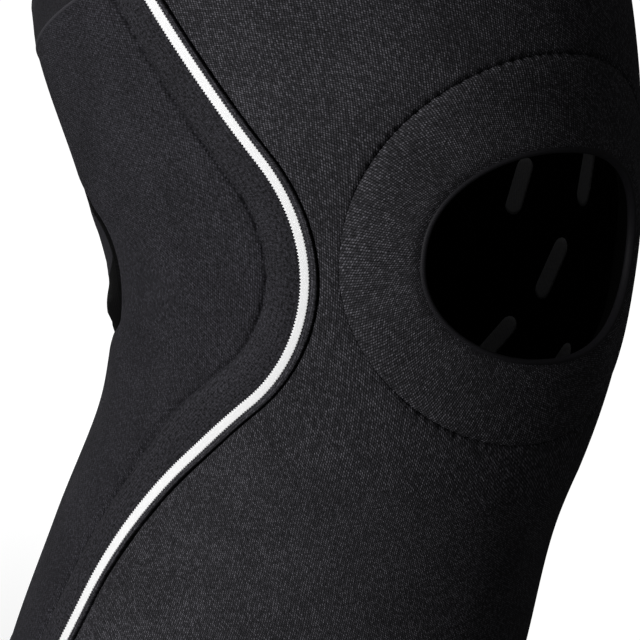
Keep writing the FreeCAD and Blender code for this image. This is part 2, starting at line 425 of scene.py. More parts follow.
def surface(tree, shader, colour, height, relief, strength, roughness, gloss=0.5):
    """Colour, bump and shine of a shader; relief is the bump's depth in metres."""
    bump = add(tree, "ShaderNodeBump", {"Height": height, "Distance": relief, "Strength": strength})
    tree.links.new(bump.outputs[0], shader.inputs["Normal"])
    if colour is not None:
        tree.links.new(colour, shader.inputs["Base Color"])
    shader.inputs["Roughness"].default_value = roughness
    shader.inputs["Specular IOR Level"].default_value = gloss


# Polyester jersey bonded to the foam: rows of small slanted loops of yarn. The wale and course are the
# loops' width and height; the loops' crowns carry a painted highlight and the gaps between them painted
# shade, and no two catch the light alike. Fuzz is how far the loops are brushed into fleece, which blurs them
# into soft flecks.
def jersey(name, gap, yarn, wale, course, wobble, contrast, fuzz, relief):
    finish, tree, shader = new_finish(name)
    place = flat = flat_place(tree)
    for scale, reach in ((0.04, 1.8), (0.9, wobble)):
        drift = noise(tree, flat, scale, 1.0).outputs["Color"]
        drift = calc_vector(tree, "SUBTRACT", {0: drift, 1: (0.5, 0.5, 0.5)})
        drift = calc_vector(tree, "SCALE", {0: drift, "Scale": reach})
        place = calc_vector(tree, "ADD", {0: place, 1: drift})
    xy = add(tree, "ShaderNodeSeparateXYZ", {0: place})
    across = calc(tree, "DIVIDE", xy.outputs[0], wale)
    column = calc(tree, "FLOOR", across)
    stagger = calc(tree, "FLOORED_MODULO", column, 2.0)
    along = calc(tree, "DIVIDE", xy.outputs[1], course)
    along = calc(tree, "MULTIPLY_ADD", stagger, 0.5, along)
    along = calc(tree, "MULTIPLY_ADD", calc(tree, "FRACT", across), 0.55, along)
    loop = add(tree, "ShaderNodeCombineXYZ", {0: column, 1: calc(tree, "FLOOR", along)}).outputs[0]
    chance = add(tree, "ShaderNodeTexWhiteNoise", {"Vector": loop}, noise_dimensions="2D").outputs["Value"]
    chance = calc(tree, "MULTIPLY_ADD", calc(tree, "POWER", chance, 2.0), contrast * 2, 1 - contrast * 0.5)
    humps = []
    for coordinate, sharpness in ((across, 1.8), (along, 1.2)):
        hump = calc(tree, "SINE", calc(tree, "MULTIPLY", calc(tree, "FRACT", coordinate), math.pi))
        humps.append(calc(tree, "POWER", hump, sharpness))
    loops = calc(tree, "MULTIPLY", calc(tree, "MULTIPLY", *humps), chance)
    fleece = spread(tree, noise(tree, flat, 1.5, 3.0, 0.85).outputs[0], 0.0, 1.0, 0.34, 0.74)
    bright = add(tree, "ShaderNodeMix", {0: fuzz, 2: loops, 3: fleece}, clamp_factor=False).outputs[0]
    patch = spread(tree, noise(tree, flat, 0.06, 4.0).outputs[0], 0.85, 1.15, 0.3, 0.7)
    bright = calc(tree, "MULTIPLY", bright, patch)
    # gap and yarn run from painted shade between the loops to a painted highlight on their crowns, over the
    # cloth's own near-black
    colour = blend_colours(tree, bright, gap, yarn, clamp_factor=False)
    surface(tree, shader, colour, bright, relief * 0.001, 0.5, roughness=0.85, gloss=0.1)
    return finish


# Nylon lining jersey, glued to the inside of the foam, coloured almost black.
def lining_jersey():
    finish, tree, shader = new_finish("lining_jersey")
    rib = wave(tree, flat_place(tree), 0.45, 0.4)
    colour = blend_colours(tree, rib, "#020202", "#050505")
    surface(tree, shader, colour, rib, 0.0001, 0.4, roughness=0.9, gloss=0.08)
    return finish


LINING = lining_jersey()
FRONT_JERSEY = jersey("front_jersey", "#060607", "#525156", wale=0.52, course=0.46, wobble=0.25,
                      contrast=1.05, fuzz=0.25, relief=0.2)

SEAM_GROOVE = 1.7           # how deep the panel's edge is pulled down beside the piping
STITCH_PITCH = 2.7          # blind stitches round the kneecap ring


def oval(bearing, half_width, half_height, fullness):
    """Places on an oval about the ring's centre, seen along the ring's axis."""
    c, s = np.cos(bearing), np.sin(bearing)
    return (half_width * np.sign(c) * np.abs(c) ** (2 / fullness),
            RING_HEIGHT + half_height * np.sign(s) * np.abs(s) ** (2 / fullness))


def ring_edge(bearing):
    return oval(bearing, RING_HALF_WIDTH, RING_HALF_HEIGHT, RING_FULLNESS)


def stitch_pull(bearing):
    """How hard the blind stitches pull at each bearing round the ring's seam, from 0 to 1."""
    girth_mm = math.pi * (RING_HALF_WIDTH + RING_HALF_HEIGHT)
    count = round(girth_mm / STITCH_PITCH)
    places = np.random.default_rng(7)
    at = (np.arange(count) + places.uniform(-0.22, 0.22, count)) * (2 * math.pi / count)
    force = places.uniform(0.35, 1.0, count)
    gap = (bearing[:, None] - at[None] + math.pi) % (2 * math.pi) - math.pi
    return (force * bell(gap * girth_mm / (2 * math.pi), 0.7)).sum(1)


def ring_groove(bearing, away):
    """Drop of the cloth at the ring's seam: pulled stitches above, few at the sides, a line below."""
    height = np.sin(bearing)
    above, below = ease((height - 0.1) / 0.35), ease((-height - 0.55) / 0.25)
    line = 0.12 + 0.45 * above + 0.6 * below
    pull = (0.12 + 0.75 * above + 0.35 * below) * stitch_pull(bearing)
    return 0.12 * bell(away, 1.8) + line[:, None] * bell(away, 0.4) + pull[:, None] * bell(away, 0.7)


def build_front_panel():
    """Its outer edge turns down beside the piping, and the ring's stitches pull at its inner edge."""
    run, turn = sheet_edge(seam_angle, 120)
    middle_run, _ = ring_spot(0.0, RING_HEIGHT)
    bearing = np.arctan2((run - middle_run) / RING_HALF_HEIGHT, turn * REACH / RING_HALF_WIDTH)
    near, far = lay_flat(*ring_spot(*ring_edge(bearing))), lay_flat(run, turn)
    side_rows = [0, 0.4, 0.8, 1.0, 1.15, 1.3, 1.45, 1.6, 1.8, 2.1, 2.6, 3.3, 4.2]
    grid = rows_between(near, far, SEAM_ROWS, side_rows, 60)
    run, turn = grid[..., 0], grid[..., 1] / REACH
    gap = np.linalg.norm(grid - near[:, None], axis=-1)
    ahead = -behind_seam(skin(run, turn).reshape(-1, 3)).reshape(run.shape) - PIPING_WIDTH
    outer = -SEAM_GROOVE * (0.85 * (1 - ease(ahead / 0.6)) + 0.15 * (1 - ease(ahead / 2.4)))
    outer += under_hem(run) - ring_groove(bearing, gap)
    uv = np.stack([turn * REACH, run], -1)
    return foam_sheet("front_panel", run, turn, outer, -FOAM, uv, FRONT_JERSEY)


def dress(piece, slot, *nodes):
    """The piece stands for its solids, which are hidden, and is baked where it lies; slot is not used."""
    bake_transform(piece)
    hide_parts(*nodes)


front_panel = build_front_panel()
dress(front_panel, "front_knit", "front_panel_calf", "front_panel_knee", "front_panel_thigh")


# ---- Back panel ----
# The second sheet of foam, faced with a brushed jersey whose loops are raised into a short fleece.
# It has a window behind the knee, and dips where the stay pocket is stitched to it.

WINDOW_MIDDLE = (KNEE_RUN + 3.0, math.pi)
WINDOW_HALF_RUN = 47.0
WINDOW_HALF_TURN = math.radians(68.0)
POCKET_STITCH = 2.7         # stitches along the stay pocket

BACK_JERSEY = jersey("back_jersey", "#080809", "#444349", wale=0.52, course=0.6, wobble=0.3,
                     contrast=0.9, fuzz=0.5, relief=0.2)


def window_edge(count):
    """The window's outline as distances from the calf rim and angles from the front."""
    swing = full_turn(count)
    return np.stack([WINDOW_MIDDLE[0] + WINDOW_HALF_RUN * np.sin(swing),
                     WINDOW_MIDDLE[1] + WINDOW_HALF_TURN * np.cos(swing)], 1)


def pocket_spread(run):
    """How far the pocket's back edge leaves its even distance: closer round the knee, further below it."""
    return 1.5 * bell(run - KNEE_RUN + 32, 13) - 1.0 * bell(run - KNEE_RUN - 8, 20)


def pocket_pull(run):
    """How hard the stitches along the stay pocket pull, from 0 to about 1."""
    places = np.random.default_rng(11)
    count = round(LENGTH / POCKET_STITCH)
    at = (np.arange(count) + places.uniform(-0.3, 0.3, count)) * POCKET_STITCH
    force = places.uniform(0.2, 1.0, count)
    return (force * bell(run[..., None] - at, 0.9)).sum(-1)


def build_back_panel():
    """It lies in a valley along the pocket's stitches, deeper below the knee, with a dent at each stitch.
    Under the pocket it lies low, and beside the lower part of the window it swells.
    """
    run, turn = sheet_edge(lambda at: math.pi - seam_angle(at), 130)
    turn = math.pi + turn
    loop = window_edge(1440)
    middle = loop.mean(0)
    bearing = np.arctan2(run - middle[0], (turn - math.pi) * REACH)
    window_bearing = np.arctan2(loop[:, 0] - middle[0], (loop[:, 1] - math.pi) * REACH)
    near = lay_flat(*[np.interp(bearing, window_bearing, part, period=2 * math.pi) for part in loop.T])
    window_rows = [0, 0.2, 0.5, 0.9, 1.6, 3.0]
    pocket_rows = [0, 3, 6, 7.6, 8.2, 8.6, 8.9, 9.15, 9.4, 9.6, 9.8, 10.0, 10.2, 10.4, 10.65, 10.9, 11.2,
                   11.5, 11.8, 12.1, 12.5, 13.0, 13.8]
    grid = rows_between(near, lay_flat(run, turn), window_rows, pocket_rows, 70)
    run, turn = grid[..., 0], grid[..., 1] / REACH
    gap = np.linalg.norm(grid - near[:, None], axis=-1)
    behind = behind_seam(skin(run, turn).reshape(-1, 3)).reshape(run.shape)
    past = behind - (TAPE_WIDTH + CHANNEL_WIDTH + pocket_spread(run))
    valley = 0.35 + 0.4 * ease((KNEE_RUN - 35 - run) / 20)
    dent = 0.35 + 1.1 * pocket_pull(run)
    swell = 0.9 * ease((KNEE_RUN - 14 - run) / 10)
    outer = -valley * bell(past - 0.1, 1.6) - 2.1 * (1 - ease((past + 0.9) / 0.9))
    outer -= dent * bell(past - 0.25, 0.42)
    outer += swell * bell(gap, 9)
    outer += under_hem(run) - 0.3 * (1 - ease(gap / 0.6))
    uv = np.stack([turn * REACH, run], -1)
    return foam_sheet("back_panel", run, turn, outer, -FOAM, uv, BACK_JERSEY)


back_panel = build_back_panel()
dress(back_panel, "back_knit", "back_panel_calf", "back_panel_knee", "back_panel_thigh")


# ---- Insert behind the knee ----
# A thin piece let into the window so that the fold of the knee stays cool and soft. It is sewn inside
# the window's edge and swells out of it: jersey above, with a near-black band that widens below and is
# painted shade for the crease of the knee's fold.

INSERT_THICK = 1.8
INSERT_TUCK = 4.0           # how far it reaches under the panel's edge
INSERT_DEPTH = 4.5          # its edge lies this far under the panel's face
INSERT_JERSEY = jersey("insert_jersey", "#0a0a0b", "#403f45", wale=0.5, course=0.45, wobble=0.3,
                       contrast=0.6, fuzz=0.6, relief=0.1)
# Near-black cloth for the insert's outer band: painted shade standing for the dark crease in the knee's fold.
PAINTED_FOLD_SHADE = jersey("painted_fold_shade", "#010101", "#050506", wale=1.1, course=1.1, wobble=0.1,
                   contrast=0.3, fuzz=0.0, relief=0.2)


def build_insert():
    """Its depth is the distance inwards from its tucked edge; the near-black band of painted shade is widest
    below.
    """
    edge = lay_flat(*window_edge(360).T)
    middle = lay_flat(*WINDOW_MIDDLE)
    out = edge - middle
    far = edge + out / np.linalg.norm(out, axis=1, keepdims=True) * INSERT_TUCK
    near = middle + out * 0.02
    length = np.linalg.norm(near - far, axis=1)[:, None]
    # width of the near-black painted shade, widest at the bottom of the window where the fold is darkest
    border = 4.0 + 26.0 * np.sqrt(ease((KNEE_RUN + 8 - edge[:, 0]) / 46))
    tucked = [0, 2, 4, 4.4, 4.9, 5.5, 6.2, 7.0]
    shade_depths = tucked[-1] + (border - 3.0)[:, None] * np.arange(1, 11) / 10
    rest = shade_depths[:, -1:] + (length - shade_depths[:, -1:]) * np.arange(1, 15) / 14
    depth = np.concatenate([np.broadcast_to(tucked, (len(far), len(tucked))), shade_depths, rest], 1)
    grid = far[:, None] + (near - far)[:, None] * (depth / length)[..., None]
    run, turn = grid[..., 0], grid[..., 1] / REACH
    inward = depth - INSERT_TUCK
    folded = ease((KNEE_RUN - run) / 10 + 0.5)
    swell = 0.3 * folded + 1.9 * ease((KNEE_RUN - 3 - run) / 14)
    outer = -INSERT_DEPTH + 4.1 * ease(inward / 3.2) + swell * ease((inward - 1.5) / 6.0)
    inner = outer - INSERT_THICK * 0.6
    points = np.concatenate([skin(run, turn, outer).reshape(-1, 3), skin(run, turn, inner).reshape(-1, 3)])
    rows, columns = run.shape
    half = rows * columns
    faces = grid_faces(rows, columns, half, wrap_rows=True, flip=True)
    faces.append(tuple(half + i * columns + columns - 1 for i in range(rows)))
    inside = len(faces)
    faces += grid_faces(rows, columns, 0, wrap_rows=True)
    faces.append(tuple(i * columns + columns - 1 for i in range(rows))[::-1])
    for i in range(rows):
        a, b = i * columns, (i + 1) % rows * columns
        faces.append((a, b, b + half, a + half))
    flat = np.stack([turn * REACH, run], -1).reshape(-1, 2)
    # columns of the outer face that take the painted shade
    shaded_columns = len(tucked) + 9
    which = [1] * inside + [2 if k % (columns - 1) < shaded_columns else 0 for k in range(rows * (columns - 1))]
    which += [0] * (1 + rows)
    return make_mesh("knee_fold_insert", points, faces, np.concatenate([flat, flat]),
                     [INSERT_JERSEY, LINING, PAINTED_FOLD_SHADE], which)


popliteal_insert = build_insert()
dress(popliteal_insert, "insert_knit", "popliteal_insert")


# ---- Kneecap ring and its pad ----
# A separate oval of foam sewn into the front panel round the kneecap, with a soft gel pad under it
# that steadies the kneecap. Its jersey is pulled towards the opening, so the wales run like rays.

OPENING_HALF_WIDTH = 33.6
OPENING_HALF_HEIGHT = 23.4
OPENING_DROP = 0.8          # its centre lies this far under the ring's
OPENING_FULLNESS = 2.22
RING_PROUD = 0.45
EDGE_FOAM = 1.6             # foam left at the opening, where it is pared thin from inside
PARED = 4.0                 # width of the pared strip
PAD_INSET = 4.0
PAD_WIDTH = 9.0
PAD_THICK = 2.6
RING_JERSEY = jersey("ring_jersey", "#0a0a0b", "#555459", wale=0.52, course=0.46, wobble=0.25,
                     contrast=1.1, fuzz=0.25, relief=0.25)


def opening_edge(bearing, grow):
    """Places on an oval that lies by grow outside the opening's edge."""
    across, up = oval(bearing, OPENING_HALF_WIDTH + grow, OPENING_HALF_HEIGHT + grow, OPENING_FULLNESS)
    return across, up - OPENING_DROP


def close_uv(piece, turn_length):
    """Lets the last column of a closed band run on past its start instead of back across it."""
    layer = piece.data.uv_layers[0].data
    for face in piece.data.polygons:
        across = [layer[k].uv[0] for k in face.loop_indices]
        if max(across) - min(across) > turn_length / 2:
            for k in face.loop_indices:
                if layer[k].uv[0] < turn_length / 2:
                    layer[k].uv[0] += turn_length
    return piece


def build_ring():
    bearing = full_turn(720)
    near, far = np.stack(opening_edge(bearing, 0.5), 1), np.stack(ring_edge(bearing), 1)
    plane = rows_between(near, far, [0, 0.4, 0.8, 1.2, 1.6, 2.3, 3.2, 4.2], SEAM_ROWS, 10)
    run, turn = ring_spot(plane[..., 0], plane[..., 1])
    to_seam = np.linalg.norm(plane - plane[:, -1:], axis=-1)
    to_edge = np.linalg.norm(plane - plane[:, :1], axis=-1)
    outer = RING_PROUD * ease(to_seam / 3.5) - ring_groove(bearing, to_seam)
    outer -= 0.75 * (1 - ease(to_edge / 2.4))
    inner = -FOAM - 0.6 * np.exp(-((to_edge - PAD_INSET - PAD_WIDTH / 2) / (PAD_WIDTH / 2)) ** 4)
    inner += (FOAM - EDGE_FOAM + RING_PROUD) * (1 - ease(to_edge / PARED))
    middle = math.pi * (RING_HALF_WIDTH + RING_HALF_HEIGHT + OPENING_HALF_WIDTH + OPENING_HALF_HEIGHT) / 2
    uv = np.stack(np.broadcast_arrays(bearing[:, None] / (2 * math.pi) * middle, to_seam), -1)
    return close_uv(foam_sheet("kneecap_ring", run, turn, outer, inner, uv, RING_JERSEY), middle)


patella_ring = build_ring()
dress(patella_ring, "ring_knit", "patella_ring")


# Silicone gel, cast soft: a milky rubber that light enters a little way.
def gel():
    finish, tree, shader = new_finish("silicone_gel")
    speck = add(tree, "ShaderNodeTexNoise", {"Scale": 900.0, "Detail": 3.0}).outputs[0]
    tree.links.new(spread(tree, speck, 0.35, 0.5), shader.inputs["Roughness"])
    tree.links.new(blend_colours(tree, speck, "#8f9194", "#a9abae"), shader.inputs["Base Color"])
    return finish


def opening_band(name, bearing, grow, lift, finish, length):
    """Closed band round the opening. Its profile's points lie by grow outside the opening's edge, at a lift
    off the sleeve's face; length is how long the band's cloth is.
    """
    run, turn = ring_spot(*opening_edge(bearing[:, None], grow[None]))
    points = skin(run, turn, lift).reshape(-1, 3)
    rows, columns = run.shape
    faces = grid_faces(rows, columns, 0, wrap_rows=True, wrap_columns=True)
    along = bearing[:, None] / (2 * math.pi) * length
    uv = np.stack(np.broadcast_arrays(along, np.arange(columns) * 0.5), -1)
    return close_uv(make_mesh(name, points, faces, uv.reshape(-1, 2), [finish]), length)


def build_pad():
    bearing, swing = full_turn(240), full_turn(20)
    c, s = np.cos(swing), np.sin(swing)
    grow = PAD_INSET + PAD_WIDTH / 2 + PAD_WIDTH / 2 * np.sign(c) * np.abs(c) ** 0.5
    lift = -FOAM / 2 - 0.35 + PAD_THICK / 2 * np.sign(s) * np.abs(s) ** 0.6
    return opening_band("kneecap_pad", bearing, grow, lift, gel(), 180.0)


patella_pad = build_pad()
dress(patella_pad, "pad", "patella_pad")


# ---- Edging of the opening ----
# Smooth stretch binding turned over the cut edge of the ring and sewn flat on both faces.

# Elastane binding: a tight warp knit with a dull shine, its loops too fine to see one by one.
def binding_cloth(name, dark, light, roughness):
    finish, tree, shader = new_finish(name)
    place = flat_place(tree)
    grain = noise(tree, place, 2.2, 4.0, 0.6).outputs[0]
    rib = wave(tree, place, 0.7, 0.6)
    mixed = calc(tree, "MULTIPLY_ADD", rib, 0.3, grain)
    surface(tree, shader, blend_colours(tree, mixed, dark, light), mixed, 0.00006, 0.4, roughness, gloss=0.15)
    return finish


EDGE_BINDING = binding_cloth("edge_binding", "#0b0b0c", "#252428", 0.6)


def build_edging():
    bearing = full_turn(720)
    half = EDGE_FOAM / 2 + 0.25
    middle = RING_PROUD - 0.35 - half
    profile = [(1.3, middle + half - 0.8), (1.15, middle + half - 0.3), (0.95, middle + half - 0.05)]
    for a in np.linspace(math.pi / 2, 3 * math.pi / 2, 9):
        c, s = math.cos(a), math.sin(a)
        profile.append((0.6 + 0.6 * c, middle + half * (abs(s) ** 0.7) * math.copysign(1, s)))
    profile += [(1.6, middle - half - 0.05), (2.3, middle - half + 0.3), (1.3, middle)]
    grow, lift = np.array(profile).T
    return opening_band("opening_binding", bearing, grow, lift, EDGE_BINDING, 184.0)


opening_edging = build_edging()
dress(opening_edging, "binding", "opening_edging")


# ---- Side seams: tape, piping and stay channel ----
# Where front and back meet, a white woven tape is sewn over the joint. A black cord lies along its
# front edge, and behind it a strip of brushed jersey is stitched down as a pocket for the side stay.

TAPE_TOOTH = 0.36           # the selvedge loops stand out by this much
TAPE_PITCH = 0.76           # one loop and one gap


# Woven polyester tape, bleached white: fine ribs across it and loops along its selvedge.
def woven_tape():
    finish, tree, shader = new_finish("woven_tape")
    place = flat_place(tree)
    across = wave(tree, place, 1.05, 0.2, bands_direction="Y")
    grain = add(tree, "ShaderNodeTexNoise", {"Vector": place, "Scale": 3.0, "Detail": 2.0}).outputs[0]
    colour = blend_colours(tree, calc(tree, "MULTIPLY_ADD", across, 0.35, grain), "#f4f4f5", "#ffffff")
    surface(tree, shader, colour, across, 0.00005, 0.3, roughness=0.75)
    return finish


WOVEN_TAPE = woven_tape()
PIPING_CORD = jersey("piping_cord", "#070707", "#56555b", wale=0.5, course=0.5, wobble=0.3,
                     contrast=0.9, fuzz=0.5, relief=0.1)
POCKET_JERSEY = jersey("pocket_jersey", "#090909", "#47464c", wale=0.61, course=0.55, wobble=0.6,
                       contrast=1.0, fuzz=0.75, relief=0.3)


def strip_skin(place, back, sign, step, profile, reshape):
    """Points, faces and flat places of one closed strip."""
    behind, lift = np.array(profile).T
    behind = np.broadcast_to(behind, (len(place), len(behind)))
    if reshape is not None:
        run, _ = side_spot(*place.T)
        behind = reshape(run, behind)
    spot = place[:, None] + back[:, None] * behind[..., None]
    run, turn = side_spot(spot[..., 0], spot[..., 1])
    points = skin(run, sign * turn, lift)
    rows, columns = run.shape
    faces = grid_faces(rows, columns, 0, wrap_columns=True, flip=sign > 0)
    caps = [tuple(range(columns)), tuple(range((rows - 1) * columns, rows * columns))[::-1]]
    faces += [cap if sign > 0 else cap[::-1] for cap in caps]
    along = np.broadcast_to(np.arange(rows)[:, None] * step, run.shape)
    return points.reshape(-1, 3), faces, np.stack([behind, along], -1).reshape(-1, 2)


def seam_strip(name, sign, step, profile, finish, margin=HEM_WIDTH - 3.0, reshape=None, ends=None):
    """Closed strip along a side seam, up to margin from both rims: 3 mm under the bindings, if not given.

    The profile gives, round the strip's edge, the distance behind the seam and the lift. reshape changes
    the distances along the strip. With ends, only that much of both ends is made.
    """
    place, back = seam_line(step)
    run, _ = side_spot(*(place + back * profile[0][0]).T)
    kept = (run > margin) & (run < LENGTH - margin)
    stretches = [kept]
    if ends is not None:
        stretches = [kept & (run < margin + ends), kept & (run > LENGTH - margin - ends)]
    points, faces, uv = [], [], []
    for part in stretches:
        part_points, part_faces, part_uv = strip_skin(place[part], back[part], sign, step, profile, reshape)
        faces += [tuple(k + len(points) for k in face) for face in part_faces]
        points += list(part_points)
        uv += list(part_uv)
    return make_mesh(name, points, faces, uv, [finish])


def tape_edges(run, behind):
    """The tape's selvedge loops, four rows to a loop; the tape is drawn narrower round the knee."""
    loops = np.sin(np.arange(len(run)) * math.pi / 2 + 0.8) * TAPE_TOOTH * 0.6
    behind = behind + loops[:, None] * ((behind > 2.3) - 0.8 * (behind < 0.2))
    return 1.25 + (behind - 1.25) * (1 - 0.3 * bell(run - KNEE_RUN, 32))[:, None]


def pocket_edge(run, behind):
    return behind + pocket_spread(run)[:, None] * ease((behind - 4.0) / 3.0)


TAPE_PROFILE = [(0.1, -0.5), (0.1, 0.4), (0.12, 0.47), (0.3, 0.5), (0.8, 0.5), (1.3, 0.5), (1.9, 0.5),
                (2.25, 0.5), (2.42, 0.48), (2.45, 0.1), (1.3, -0.5)]
PIPING_PROFILE = [(-PIPING_WIDTH, -1.2), (-PIPING_WIDTH, 0.1), (-PIPING_WIDTH + 0.06, 0.3),
                  (-PIPING_WIDTH + 0.2, 0.42), (-0.4, 0.45), (-0.05, 0.42), (0.2, 0.2), (1.0, 0.1),
                  (1.0, -1.2)]
CHANNEL_PROFILE = [(1.6, -0.5), (1.8, 0.2), (2.6, 0.42), (3.6, 0.72), (5.2, 0.92), (6.8, 0.9), (8.2, 0.7),
                   (9.0, 0.4), (9.6, -0.05), (TAPE_WIDTH + CHANNEL_WIDTH, -0.7), (10.5, -1.5), (9.9, -2.3),
                   (9.4, -1.6), (8.9, -0.1), (3.9, -0.1), (3.6, -1.6), (2.4, -1.2)]

for side, sign in (("left", 1), ("right", -1)):
    tape = seam_strip(f"side_tape_{side}", sign, TAPE_PITCH / 4, TAPE_PROFILE, WOVEN_TAPE,
                      reshape=tape_edges)
    dress(tape, "tape", f"seam_tape_{side}")
    piping = seam_strip(f"side_piping_{side}", sign, 1.0, PIPING_PROFILE, PIPING_CORD)
    dress(piping, "piping", f"piping_{side}")
    channel = seam_strip(f"stay_pocket_{side}", sign, 1.0, CHANNEL_PROFILE, POCKET_JERSEY,
                         reshape=pocket_edge)
    dress(channel, "channel", f"stay_channel_{side}")


# ---- Side stays ----
# A flat strip of tempered spring steel in each channel, with a dipped plastic cap on both ends so
# that its corners don't cut the cloth.

STAY_WIDTH = 4.8
STAY_MIDDLE = TAPE_WIDTH + CHANNEL_WIDTH / 2
STAY_MARGIN = HEM_WIDTH + 6.3
TIP_LENGTH = 8.0


# Spring steel, cold rolled and tempered: a dark grey metal with fine lines along the strip.
def spring_steel():
    finish, tree, shader = new_finish("spring_steel")
    drawn = calc_vector(tree, "MULTIPLY", {0: flat_place(tree), 1: (12.0, 0.15, 1.0)})
    lines = noise(tree, drawn, 1.0, 3.0).outputs[0]
    tree.links.new(spread(tree, lines, 0.25, 0.42), shader.inputs["Roughness"])
    shader.inputs["Base Color"].default_value = linear("#9a9a9c")
    shader.inputs["Metallic"].default_value = 1.0
    return finish


# Dipped vinyl: a smooth soft coat with a low shine.
def dipped_vinyl():
    finish, tree, shader = new_finish("dipped_vinyl")
    ripple = add(tree, "ShaderNodeTexNoise", {"Scale": 300.0, "Detail": 2.0}).outputs[0]
    surface(tree, shader, None, ripple, 0.00004, 0.3, roughness=0.45)
    shader.inputs["Base Color"].default_value = linear("#d8d8d4")
    return finish


def strip_profile(half_width, low, high):
    """A flat strip in the middle of the pocket."""
    return [(STAY_MIDDLE - half_width, low), (STAY_MIDDLE - half_width, high), (STAY_MIDDLE, high + 0.02),
            (STAY_MIDDLE + half_width, high), (STAY_MIDDLE + half_width, low), (STAY_MIDDLE, low - 0.02)]


STEEL, VINYL = spring_steel(), dipped_vinyl()
LOW, HIGH = -1.7, -0.5      # the stay's two faces, off the sleeve's face
stay_profile = strip_profile(STAY_WIDTH / 2, LOW, HIGH)
cap_profile = strip_profile(STAY_WIDTH / 2 + 0.3, LOW - 0.25, HIGH + 0.25)
for side, sign in (("left", 1), ("right", -1)):
    stay = seam_strip(f"side_stay_{side}", sign, 1.0, stay_profile, STEEL, STAY_MARGIN)
    dress(stay, "stay", f"stay_{side}")
    caps = seam_strip(f"stay_caps_{side}", sign, 0.5, cap_profile, VINYL, STAY_MARGIN - 0.3, ends=TIP_LENGTH)
    dress(caps, "stay_tip", f"stay_tips_{side}")


# ---- Rim bindings ----
# A band of brushed elastane folded over each rim and sewn flat, 12 mm deep on both faces. Its edge is
# painted paler as a highlight along the slight ridge there, and the fold at the rim stays round.

RIM_REACH = 64.0            # mean reach of both rims
RIM_BINDING = jersey("rim_binding", "#0e0e0f", "#3b3a3f", wale=0.5, course=0.45, wobble=0.5,
                     contrast=0.5, fuzz=0.7, relief=0.08)
# Paler cloth on the binding's edge: a painted highlight, not a thread of its own colour.
HEM_HIGHLIGHT = binding_cloth("hem_edge_highlight", "#29282b", "#454449", 0.7)


def over_strips(turn, rim, way):
    """How far the binding swells over the tape and the stay pocket, whose ends lie under it."""
    seam = seam_angle(rim + way * 6.0)
    middle, half_width, swell = 4.4, 8.0, 0.75      # of tape and pocket together
    off = (np.abs((turn + math.pi) % (2 * math.pi) - math.pi) - seam) * REACH - middle
    return swell * ease((half_width - np.abs(off)) / 2.5)


def build_hem(name, rim, way):
    """Binding round a rim; way is +1 where the sleeve lies above the rim."""
    count = 480
    turn = full_turn(count)
    highlit_edge = [(HEM_WIDTH + 0.25, -0.5), (HEM_WIDTH + 0.1, -0.05), (HEM_WIDTH - 0.15, 0.2),
                (HEM_WIDTH - 0.5, 0.24)]
    face = [(HEM_WIDTH - 0.9, 0.12), (HEM_WIDTH - 1.6, 0.08), (8.0, 0.08), (5.0, 0.1)]
    fold = [(2.2 - 2.2 * math.cos(a), -FOAM / 2 + (FOAM / 2 + 0.1) * math.sin(a))
            for a in np.linspace(math.pi / 2, -math.pi / 2, 9)]
    lining = [(5.0, -FOAM - 0.8), (HEM_WIDTH - 1.5, -FOAM - 0.75), (HEM_WIDTH, -FOAM - 0.3),
              (HEM_WIDTH, -FOAM + 0.6), (5.0, -FOAM / 2)]
    profile = highlit_edge + face + fold + lining
    depth, lift = np.array(profile).T
    outside = np.clip((lift + 1.0) / 1.0, 0, 1) * (np.arange(len(lift)) < 12)
    lift = lift + over_strips(turn, rim, way)[:, None] * outside
    points = skin(rim + way * depth, turn[:, None], lift).reshape(-1, 3)
    faces = grid_faces(count, len(depth), 0, wrap_rows=True, wrap_columns=True, flip=way > 0)
    across = np.cumsum(np.hypot(*np.diff(profile, axis=0, append=profile[:1]).T))
    uv = np.stack(np.broadcast_arrays(turn[:, None] * RIM_REACH, across), -1)
    # the faces along the edge take the painted highlight
    which = [int(k % len(depth) < len(highlit_edge) - 1) for k in range(len(faces))]
    hem = make_mesh(name, points, faces, uv.reshape(-1, 2), [RIM_BINDING, HEM_HIGHLIGHT], which)
    return close_uv(hem, 2 * math.pi * RIM_REACH)


for body, rim, way in (("calf", 0.0, 1), ("thigh", LENGTH, -1)):
    hem = build_hem(body + "_binding", rim, way)
    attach(hem, body)
    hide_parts(body + "_hem")


# ---- Grip print ----
# Short slanted bars of silicone printed on the lining in staggered rows, so that the sleeve doesn't
# slide down the leg.

BAR_LENGTH = 15.0
BAR_WIDTH = 5.0
BAR_SLANT = math.radians(24.0)
BAR_PITCH = (23.0, 20.0)    # round the leg, along the leg
BAR_THICK = 0.35


# Silicone ink over the ribs of the lining: grey, matt, with the knit showing through.
def grip_ink():
    finish, tree, shader = new_finish("grip_ink")
    place = flat_place(tree)
    rib = wave(tree, place, 0.6, 0.5)
    shade = calc(tree, "MULTIPLY_ADD", rib, 0.5, noise(tree, place, 1.6, 2.0).outputs[0])
    surface(tree, shader, blend_colours(tree, shade, "#6e6e70", "#949496"), shade, 0.0001, 0.4, roughness=0.6)
    return finish


def bar_outline():
    """Outline of a round-ended bar about its own middle."""
    swing = np.linspace(0, math.pi, 9)
    x, y = np.cos(swing) * BAR_WIDTH / 2, (BAR_LENGTH - BAR_WIDTH) / 2 + np.sin(swing) * BAR_WIDTH / 2
    end = np.stack([x, y], 1)
    c, s = math.cos(BAR_SLANT), math.sin(BAR_SLANT)
    return np.concatenate([end, -end]) @ np.array([[c, s], [-s, c]])


